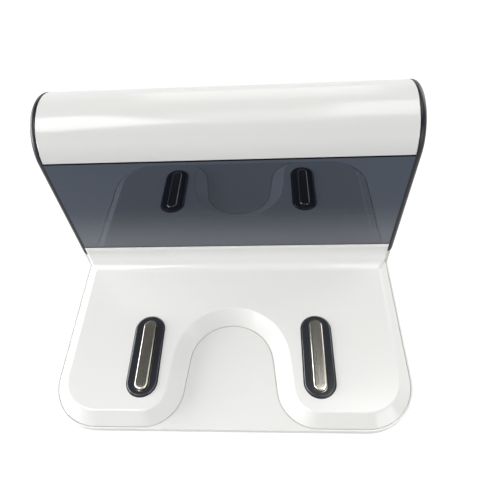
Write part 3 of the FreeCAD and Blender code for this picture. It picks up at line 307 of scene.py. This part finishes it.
def smoked_gloss(finishes):
    """Smoked window, with a painted reflection of the pale deck as a lighter glow towards its foot."""
    finish = new_finish("smoked_gloss")
    drift = finish.noise(25 * MM)
    haze = finish.noise(3 * MM, detail=5.0)
    low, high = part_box("signal_window")
    height = finish.node("ShaderNodeSeparateXYZ", None, {"Vector": finish.place()}, "Z")
    # Painted reflection mask: 0 at the window's foot, where the pale glow is painted in, rising to 1 higher
    # up, where the plain smoke shows.
    clear = finish.ease(height, low.z + 0.1 * (high.z - low.z), low.z + 0.58 * (high.z - low.z))
    smoke = finish.mix(drift, finishes.smoke, darker(finishes.smoke, 1.5))
    return finish.surface({
        "Base Color": finish.mix(clear, finishes.painted_foot_glow, smoke),
        "Roughness": finish.ease(haze, 0.55, 0.8) * 0.03 + 0.02,
        "Normal": finish.bump(drift, 0.002 * MM),
        "IOR": finishes.smoke_index,
        "Specular Tint": finishes.smoke_sheen,
    })


def cap_gloss(finishes):
    """Black of the end caps, a shade softer than the window."""
    finish = new_finish("cap_gloss")
    drift = finish.noise(25 * MM)
    haze = finish.noise(2 * MM, detail=4.0)
    return finish.surface({
        "Base Color": finish.mix(drift, finishes.smoke, darker(finishes.smoke, 1.5)),
        "Roughness": haze * 0.08 + 0.3,
        "Normal": finish.bump(finish.noise(1.2 * MM), 0.002 * MM),
        "IOR": 1.35,
    })


def polished_black(finishes):
    finish = new_finish("polished_black")
    drift = finish.noise(12 * MM)
    haze = finish.noise(2 * MM, detail=4.0)
    return finish.surface({
        "Base Color": finish.mix(drift, finishes.black, darker(finishes.black, 1.6)),
        "Roughness": haze * 0.06 + 0.16,
        "Normal": finish.bump(finish.noise(0.9 * MM), 0.002 * MM),
        "IOR": 1.55,
    })


def brushed_nickel(finishes):
    finish = new_finish("brushed_nickel")
    brush = finish.noise(0.16 * MM, stretch=(1, 0.02, 1), detail=4.0)
    drift = finish.noise(6 * MM)
    return finish.surface({
        "Base Color": finish.mix(drift, finishes.nickel, darker(finishes.nickel, 0.86)),
        "Roughness": brush * 0.14 + 0.14,
        "Metallic": 1.0,
        "Normal": finish.bump(brush, 0.004 * MM),
    })


def bare_metal(name, colour, roughness, stretch):
    """Drawn, turned or stamped metal with its working marks along one way."""
    finish = new_finish(name)
    marks = finish.noise(0.2 * MM, stretch=stretch, detail=4.0)
    drift = finish.noise(4 * MM)
    return finish.surface({
        "Base Color": finish.mix(drift, colour, darker(colour, 0.8)),
        "Roughness": marks * 0.2 + roughness,
        "Metallic": 1.0,
        "Normal": finish.bump(marks, 0.006 * MM),
    })


def matt_plastic(name, colour, roughness, grain_size, grain_depth):
    finish = new_finish(name)
    grain = finish.noise(grain_size, detail=3.0)
    drift = finish.noise(9 * MM)
    return finish.surface({
        "Base Color": finish.mix(drift, colour, darker(colour, 1.3)),
        "Roughness": grain * 0.2 + roughness,
        "Normal": finish.bump(grain, grain_depth),
    })


def solder_mask(finishes):
    """Green board with copper runs showing through and bare pads."""
    finish = new_finish("solder_mask")
    runs = finish.node("ShaderNodeTexBrick", {"offset": 0.37}, {
        "Vector": finish.place((1, 0, 1)), "Scale": 1.0, "Mortar Size": 0.35 * MM,
        "Brick Width": 7 * MM, "Row Height": 2.2 * MM}, "Fac")
    cells = finish.node("ShaderNodeTexVoronoi", None,
                        {"Vector": finish.place((1, 0, 1)), "Scale": 1 / (3.4 * MM)}, "Distance")
    pads = 1 - finish.ease(cells, 0.13, 0.17)
    masked = finish.mix(runs, finishes.mask_green, darker(finishes.mask_green, 2.1))
    return finish.surface({
        "Base Color": finish.mix(pads, masked, (0.55, 0.53, 0.50)),
        "Metallic": pads,
        "Roughness": 0.34 - pads * 0.1,
        "Normal": finish.bump(runs + pads, 0.03 * MM),
    })


def emitter_resin():
    finish = new_finish("emitter_resin")
    drift = finish.noise(1.2 * MM)
    return finish.surface({
        "Base Color": finish.mix(drift, (0.30, 0.24, 0.46), (0.42, 0.36, 0.58)),
        "Roughness": drift * 0.05 + 0.05,
        "Transmission Weight": 0.55,
        "IOR": 1.54,
    })


def sintered_ferrite():
    finish = new_finish("sintered_ferrite")
    specks = finish.noise(0.5 * MM, detail=5.0)
    return finish.surface({
        "Base Color": finish.mix(specks, (0.020, 0.020, 0.022), (0.075, 0.075, 0.080)),
        "Roughness": 0.75 - specks * 0.25,
        "Normal": finish.bump(specks, 0.05 * MM),
    })


def wound_tape():
    """Yellow tape round a transformer, with the edges of its turns."""
    finish = new_finish("wound_tape")
    turns = finish.node("ShaderNodeTexWave", {"bands_direction": "Z"},
                        {"Vector": finish.place(), "Scale": 1 / (7 * MM), "Distortion": 0.6})
    drift = finish.noise(2 * MM)
    tape = finish.mix(drift, (0.62, 0.40, 0.03), (0.70, 0.50, 0.08))
    return finish.surface({
        "Base Color": finish.mix(turns * 0.25, tape, (0.35, 0.20, 0.02)),
        "Roughness": drift * 0.15 + 0.3,
        "Normal": finish.bump(turns, 0.04 * MM),
    })


def shrink_sleeve():
    """Dark sleeve of a capacitor, with the pale stripe that marks one side of it."""
    finish = new_finish("shrink_sleeve")
    here = finish.node("ShaderNodeSeparateXYZ", None,
                       {"Vector": finish.node("ShaderNodeTexCoord", output="Normal")}, "Z")
    stripe = finish.ease(here, 0.86, 0.9)
    drift = finish.noise(2 * MM)
    sleeve = finish.mix(drift, (0.012, 0.016, 0.045), (0.020, 0.026, 0.065))
    return finish.surface({
        "Base Color": finish.mix(stripe, sleeve, (0.50, 0.52, 0.54)),
        "Roughness": drift * 0.1 + 0.22,
        "Normal": finish.bump(drift, 0.01 * MM),
    })


# Helpers for pieces

def dress(material, *nodes):
    """Puts a material on solids of the frame."""
    for node in nodes:
        slots = frame["nodes"][node].material_slots
        for slot in slots:
            slot.material = material


def settings(context):
    scene = context.scene
    return scene.dock_finishes, scene.dock_details, scene.dock_studio


def new_piece(name, mesh_build, material):
    """Object from a finished bmesh, smooth shaded up to its sharp edges."""
    mesh = bpy.data.meshes.new(name)
    mesh_build.to_mesh(mesh)
    mesh_build.free()
    mesh.materials.append(material)
    mesh.shade_smooth()
    mesh.set_sharp_from_angle(angle=SHARP_EDGE)
    piece = bpy.data.objects.new(name, mesh)
    bpy.context.scene.collection.objects.link(piece)
    return piece


def turned(profile, centre, sides):
    """Bmesh of a (radius, height) profile turned about an upright axis, both ends on the axis."""
    build = bmesh.new()
    points = [build.verts.new((centre.x + radius, centre.y, centre.z + height))
              for radius, height in profile]
    edges = [build.edges.new(pair) for pair in zip(points, points[1:])]
    bmesh.ops.spin(build, geom=points + edges, cent=centre, axis=(0, 0, 1), angle=math.tau,
                   steps=sides, use_merge=True)
    bmesh.ops.remove_doubles(build, verts=build.verts, dist=1e-7)
    bmesh.ops.recalc_face_normals(build, faces=build.faces)
    return build


def skinned(build, rings):
    """Closes a row of rings of points into the skin of one solid."""
    for first, second in zip(rings, rings[1:]):
        for side in range(len(first)):
            build.faces.new((first[side - 1], first[side], second[side], second[side - 1]))
    build.faces.new(rings[0])
    build.faces.new(rings[-1])
    bmesh.ops.recalc_face_normals(build, faces=build.faces)
    return build


# Operators, one for each group of pieces

class DOCK_OT_white_mouldings(bpy.types.Operator):
    """Finish the base cover, the tower shell and the plate underneath"""

    bl_idname = "dock.white_mouldings"
    bl_label = "White mouldings"

    def execute(self, context):
        finishes, _, _ = settings(context)
        dress(white_gloss(finishes, "base_white", 1.0), "base_cover")
        # The tower gets a darker copy of the base white: painted shade.
        dress(white_gloss(finishes, "tower_white_painted_shade", finishes.tower_shade_share), "tower_shell")
        dress(white_tray(finishes), "bottom_plate")
        return {"FINISHED"}


class DOCK_OT_signal_window(bpy.types.Operator):
    """Finish the smoked window and the black end caps beside it"""

    bl_idname = "dock.signal_window"
    bl_label = "Signal window"

    def execute(self, context):
        finishes, _, _ = settings(context)
        dress(smoked_gloss(finishes), "signal_window")
        dress(cap_gloss(finishes), "left_end_cap", "right_end_cap")
        return {"FINISHED"}


class DOCK_OT_black_trim(bpy.types.Operator):
    """Finish the bezels of the contacts"""

    bl_idname = "dock.black_trim"
    bl_label = "Black trim"

    def execute(self, context):
        finishes, _, _ = settings(context)
        dress(polished_black(finishes), "left_contact_bezel", "right_contact_bezel")
        return {"FINISHED"}


class DOCK_OT_contacts(bpy.types.Operator):
    """Build the contact bars with their rounded rims and finish the terminals under them"""

    bl_idname = "dock.contacts"
    bl_label = "Contacts"

    def execute(self, context):
        finishes, details, _ = settings(context)
        nickel = brushed_nickel(finishes)
        brass = bare_metal("stamped_brass", (0.70, 0.50, 0.20), 0.22, (1, 0.05, 1))
        for side in ("left", "right"):
            node = side + "_contact_strip"
            piece = new_piece(side + "_contact_bar", contact_bar(details, *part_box(node)), nickel)
            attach(piece, side + "_contact")
            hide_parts(node)
            dress(brass, side + "_contact_terminal")
        return {"FINISHED"}


def contact_bar(details, low, high):
    """Bmesh of an oval bar on its shoulder, with a rounded rim and a flat top."""
    build = bmesh.new()
    shoulder = low.z + details.shoulder_height
    half_width = (high.x - low.x) / 2
    levels = [(0.0, low.z), (0.0, shoulder), (details.bar_shoulder, shoulder)]
    for step in range(ROUND_STEPS + 1):
        angle = math.pi / 2 * step / ROUND_STEPS
        levels.append((details.bar_shoulder + details.bar_round * (1 - math.cos(angle)),
                       high.z - details.bar_round * (1 - math.sin(angle))))
    edge = details.bar_shoulder + details.bar_round
    levels += [(edge + (half_width - edge) * share, high.z) for share in (0.25, 0.5, 0.75)]
    rings = [oval_ring(build, details, low, high, inset, height) for inset, height in levels]
    return skinned(build, rings)


def oval_ring(build, details, low, high, inset, height):
    """Points round an oval inside a box, sunk towards the front once they lie above the shoulder."""
    radius = (high.x - low.x) / 2 - inset
    middle = (low.x + high.x) / 2
    nose_start = low.y + details.bar_shoulder + details.bar_nose
    front, back = low.y + inset + radius, high.y - inset - radius
    drop = details.nose_drop if height > low.z + details.shoulder_height else 0.0
    ring = []
    for centre, start in ((back, 0.0), (front, math.pi)):
        for step in range(details.bar_sides + 1):
            angle = start + math.pi * step / details.bar_sides
            x = middle + radius * math.cos(angle)
            y = centre + radius * math.sin(angle)
            share = max(0.0, (nose_start - y) / details.bar_nose)
            ring.append(build.verts.new((x, y, height - drop * share ** 2)))
    return ring


class DOCK_OT_springs(bpy.types.Operator):
    """Build the coil springs under the contact bars, each with a mesh of its own"""

    bl_idname = "dock.springs"
    bl_label = "Springs"

    def execute(self, context):
        _, details, _ = settings(context)
        wire = bare_metal("drawn_wire", (0.50, 0.50, 0.51), 0.18, (1, 1, 1))
        for joint in frame["joints"]:
            for spring in joint["deforming_nodes"]:
                node = spring["node"]
                low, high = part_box(node)
                piece = new_piece(node + "_coil", coil(details, low, high), wire)
                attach(piece, joint["parent"])
                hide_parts(node)
                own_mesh(piece)
        return {"FINISHED"}


def coil(details, low, high):
    """Bmesh of a round wire wound inside a box about its upright middle."""
    build = bmesh.new()
    upward = Vector((0, 0, 1))
    middle = (low + high) / 2
    half_wire = details.spring_wire / 2
    radius = (high.x - low.x) / 2 - half_wire
    steps = details.spring_turns * details.spring_steps
    rise = (high.z - low.z - details.spring_wire) / steps
    rings = []
    for step in range(steps + 1):
        turn = math.tau * step / details.spring_steps
        outward = Vector((math.cos(turn), math.sin(turn), 0))
        centre = Vector((middle.x, middle.y, low.z + half_wire + rise * step)) + radius * outward
        ring = []
        for side in range(details.wire_sides):
            angle = math.tau * side / details.wire_sides
            spoke = math.cos(angle) * outward + math.sin(angle) * upward
            ring.append(build.verts.new(centre + half_wire * spoke))
        rings.append(ring)
    return skinned(build, rings)


class DOCK_OT_feet(bpy.types.Operator):
    """Build the rubber feet with ribbed treads"""

    bl_idname = "dock.feet"
    bl_label = "Feet"

    def execute(self, context):
        finishes, details, _ = settings(context)
        rubber = matt_plastic("moulded_rubber", finishes.rubber, 0.62, 0.5 * MM, 0.02 * MM)
        for place in ("front_left", "front_right", "rear_left", "rear_right"):
            node = place + "_foot"
            low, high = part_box(node)
            centre = Vector(((low.x + high.x) / 2, (low.y + high.y) / 2, low.z))
            profile = tread_profile(details, (high.x - low.x) / 2, high.z - low.z)
            piece = new_piece(place + "_foot_tread", turned(profile, centre, details.foot_sides), rubber)
            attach(piece, "dock")
            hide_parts(node)
        return {"FINISHED"}


def tread_profile(details, radius, height):
    """Section of a foot from the middle of its tread to the middle of its top."""
    pitch = radius / (details.tread_rings + 0.5)
    flank = pitch * 0.14
    profile = [(0.0, 0.0)]
    for ring in range(details.tread_rings):
        edge = pitch * (ring + 0.5)
        profile += [
            (edge, 0.0),
            (edge + flank, details.tread_depth),
            (edge + pitch / 2 - flank, details.tread_depth),
            (edge + pitch / 2, 0.0),
        ]
    bevel = details.tread_depth
    profile += [(radius - bevel, 0.0), (radius, bevel), (radius, height - bevel / 2),
                (radius - bevel / 2, height), (0.0, height)]
    return profile


class DOCK_OT_screws(bpy.types.Operator):
    """Finish the screws of the plate and the boards"""

    bl_idname = "dock.screws"
    bl_label = "Screws"

    def execute(self, context):
        dress(bare_metal("zinc_plate", (0.52, 0.52, 0.50), 0.2, (1, 1, 1)), "bottom_screws", "board_screws")
        return {"FINISHED"}


class DOCK_OT_mains_inlet(bpy.types.Operator):
    """Finish the mains inlet and its pins"""

    bl_idname = "dock.mains_inlet"
    bl_label = "Mains inlet"

    def execute(self, context):
        dress(matt_plastic("inlet_black", (0.016, 0.016, 0.017), 0.42, 0.4 * MM, 0.02 * MM), "inlet_housing")
        dress(bare_metal("turned_pins", (0.62, 0.58, 0.50), 0.16, (0.05, 1, 1)), "inlet_pins")
        return {"FINISHED"}


class DOCK_OT_leads(bpy.types.Operator):
    """Finish the insulated leads"""

    bl_idname = "dock.leads"
    bl_label = "Leads"

    def execute(self, context):
        dress(matt_plastic("red_sleeve", (0.45, 0.015, 0.012), 0.4, 0.6 * MM, 0.01 * MM),
              "left_contact_lead")
        dress(matt_plastic("black_sleeve", (0.014, 0.014, 0.015), 0.4, 0.6 * MM, 0.01 * MM),
              "right_contact_lead", "mains_leads", "board_lead")
        return {"FINISHED"}


class DOCK_OT_boards(bpy.types.Operator):
    """Finish the boards and what they carry"""

    bl_idname = "dock.boards"
    bl_label = "Boards"

    def execute(self, context):
        finishes, _, _ = settings(context)
        dress(solder_mask(finishes), "emitter_board", "power_board")
        dress(emitter_resin(), "emitters")
        dress(matt_plastic("baffle_black", (0.010, 0.010, 0.010), 0.6, 0.4 * MM, 0.02 * MM), "light_baffle")
        dress(sintered_ferrite(), "transformer_core", "filter_choke")
        dress(wound_tape(), "transformer_winding")
        dress(shrink_sleeve(), "mains_capacitor", "output_capacitor")
        return {"FINISHED"}


class DOCK_OT_ballast(bpy.types.Operator):
    """Finish the sawn steel ballast"""

    bl_idname = "dock.ballast"
    bl_label = "Ballast"

    def execute(self, context):
        dress(bare_metal("sawn_steel", (0.30, 0.30, 0.31), 0.35, (1, 0.03, 1)), "ballast_plate")
        return {"FINISHED"}


class DOCK_OT_stage(bpy.types.Operator):
    """Set up the camera, the lamps, the surroundings and the pale floor"""

    bl_idname = "dock.stage"
    bl_label = "Stage"

    def execute(self, context):
        _, _, studio = settings(context)
        context.scene.view_settings.view_transform = "Standard"
        add_camera(studio)
        add_lamp("left_softbox", studio.left_softbox, azimuth=180, elevation=12, size=(0.9, 0.34))
        add_lamp("left_shoulder", studio.left_shoulder, azimuth=205, elevation=60, size=(0.4, 0.4))
        add_lamp("right_low", studio.right_low, azimuth=315, elevation=16, size=(0.5, 0.45))
        add_lamp("right_high", studio.right_high, azimuth=0, elevation=65, size=(0.5, 0.5))
        add_lamp("back_right", studio.back_right, azimuth=38, elevation=20, size=(0.5, 0.5))
        add_lamp("back_high", studio.back_high, azimuth=90, elevation=40, size=(0.5, 0.5))
        add_lamp("overhead", studio.overhead, azimuth=270, elevation=80, size=(0.4, 0.4))
        add_lamp("underside", studio.underside, azimuth=60, elevation=-75, size=(0.4, 0.4))
        add_surroundings(studio)
        add_floor(studio)
        return {"FINISHED"}


def add_camera(studio):
    camera = bpy.data.objects.new("camera", bpy.data.cameras.new("camera"))
    camera.data.sensor_width = SENSOR_WIDTH
    camera.data.lens = studio.camera_lens
    camera.data.clip_start = 0.005
    turn = (Matrix.Rotation(studio.camera_heading, 4, "Z") @ Matrix.Rotation(studio.camera_pitch, 4, "X")
            @ Matrix.Rotation(studio.camera_roll, 4, "Z"))
    camera.matrix_world = Matrix.Translation(studio.camera_place) @ turn
    bpy.context.scene.collection.objects.link(camera)
    bpy.context.scene.camera = camera


def add_lamp(name, power, azimuth, elevation, size):
    """Rectangular panel that faces the dock, placed in degrees round from its right side and up."""
    lamp = bpy.data.lights.new(name, "AREA")
    lamp.shape = "RECTANGLE"
    lamp.size, lamp.size_y = size
    lamp.energy = power
    holder = bpy.data.objects.new(name, lamp)
    bearing = math.radians(azimuth)
    height = math.radians(elevation)
    level = math.cos(height)
    outward = Vector((level * math.cos(bearing), level * math.sin(bearing), math.sin(height)))
    holder.location = LAMP_DISTANCE * outward
    holder.rotation_euler = outward.to_track_quat("Z", "Y").to_euler()
    bpy.context.scene.collection.objects.link(holder)


def add_surroundings(studio):
    """Dim room that lights the dock, and a white sweep that the camera, glass and mirrors see."""
    world = bpy.data.worlds.new("studio")
    bpy.context.scene.world = world
    finish = Finish(world)
    way = finish.node("ShaderNodeTexCoord", output="Generated")
    bearing = finish.node("ShaderNodeSeparateXYZ", None, {"Vector": way}, "Y")
    height = finish.node("ShaderNodeSeparateXYZ", None, {"Vector": way}, "Z")
    dark = finish.node("ShaderNodeBackground", None, {"Color": (0.0, 0.0, 0.0)})
    wall = finish.node("ShaderNodeBackground", None,
                       {"Color": (1.0, 0.97, 0.92), "Strength": studio.back_glow})
    room = finish.node("ShaderNodeMixShader", None, {0: finish.ease(bearing, -0.1, 0.7), 1: dark, 2: wall})
    white = finish.node("ShaderNodeBackground", None, {"Color": (1.0, 1.0, 1.0), "Strength": 1.0})
    sweep = 1 - finish.ease(height, SWEEP_TOP, CEILING)
    past = finish.seen("Camera", "Transmission") + finish.seen("Glossy") * sweep
    seen = finish.node("ShaderNodeMixShader", None, {0: past, 1: room, 2: white})
    finish.node("ShaderNodeOutputWorld", None, {"Surface": seen})


def add_floor(studio):
    """Pale round floor that keeps the dock's shadow and turns into plain white further out."""
    build = bmesh.new()
    bmesh.ops.create_circle(build, cap_ends=True, radius=studio.floor_radius, segments=96)
    mesh = bpy.data.meshes.new("floor")
    build.to_mesh(mesh)
    build.free()
    floor = bpy.data.objects.new("floor", mesh)
    bpy.context.scene.collection.objects.link(floor)
    mesh.materials.append(floor_paper())


def floor_paper():
    """Lit paper near the dock and plain white further out, for the camera, glass and mirrors."""
    finish = new_finish("floor_paper")
    distance = finish.node("ShaderNodeVectorMath", {"operation": "LENGTH"}, {0: finish.place()}, "Value")
    eye = finish.seen("Camera", "Glossy", "Transmission")
    far = finish.ease(distance, FLOOR_NEAR, FLOOR_FAR) * eye
    below = finish.node("ShaderNodeNewGeometry", output="Backfacing") + finish.seen("Shadow")
    paper = finish.node("ShaderNodeBsdfDiffuse", None, {"Color": (0.50, 0.50, 0.50)})
    shaded = finish.node("ShaderNodeBsdfDiffuse", None, {"Color": (0.22, 0.22, 0.22)})
    glow = finish.node("ShaderNodeEmission", None, {"Color": (1.0, 1.0, 1.0), "Strength": 0.84})
    white = finish.node("ShaderNodeEmission", None, {"Color": (1.0, 1.0, 1.0), "Strength": 1.0})
    bright = finish.node("ShaderNodeAddShader", None, {0: shaded, 1: glow})
    near = finish.node("ShaderNodeMixShader", None, {0: eye, 1: paper, 2: bright})
    lit = finish.node("ShaderNodeMixShader", None, {0: far, 1: near, 2: white})
    clear = finish.node("ShaderNodeBsdfTransparent")
    sided = finish.node("ShaderNodeMixShader", None, {0: below, 1: lit, 2: clear})
    finish.node("ShaderNodeOutputMaterial", None, {"Surface": sided})
    return finish.owner


# Panel and registration

class DOCK_PT_dresser(bpy.types.Panel):
    """Steps that dress the dock, in order"""

    bl_idname = "DOCK_PT_dresser"
    bl_label = "Charging dock"
    bl_space_type = "VIEW_3D"
    bl_region_type = "UI"
    bl_category = "Dock"

    def draw(self, context):
        for step in STEPS:
            self.layout.operator(step.bl_idname)
        for group in settings(context):
            column = self.layout.column()
            for name in group.__annotations__:
                column.prop(group, name)


STEPS = (
    DOCK_OT_white_mouldings,
    DOCK_OT_signal_window,
    DOCK_OT_black_trim,
    DOCK_OT_contacts,
    DOCK_OT_springs,
    DOCK_OT_feet,
    DOCK_OT_screws,
    DOCK_OT_mains_inlet,
    DOCK_OT_leads,
    DOCK_OT_boards,
    DOCK_OT_ballast,
    DOCK_OT_stage,
)
GROUPS = {"dock_finishes": DockFinishes, "dock_details": DockDetails, "dock_studio": DockStudio}
CLASSES = (*GROUPS.values(), *STEPS, DOCK_PT_dresser)


def register():
    for item in CLASSES:
        bpy.utils.register_class(item)
    for name, group in GROUPS.items():
        setattr(bpy.types.Scene, name, PointerProperty(type=group))


def unregister():
    for name in GROUPS:
        delattr(bpy.types.Scene, name)
    for item in reversed(CLASSES):
        bpy.utils.unregister_class(item)


def main():
    register()
    for step in STEPS:
        family, name = step.bl_idname.split(".")
        getattr(getattr(bpy.ops, family), name)()


if __name__ == "__main__":
    main()
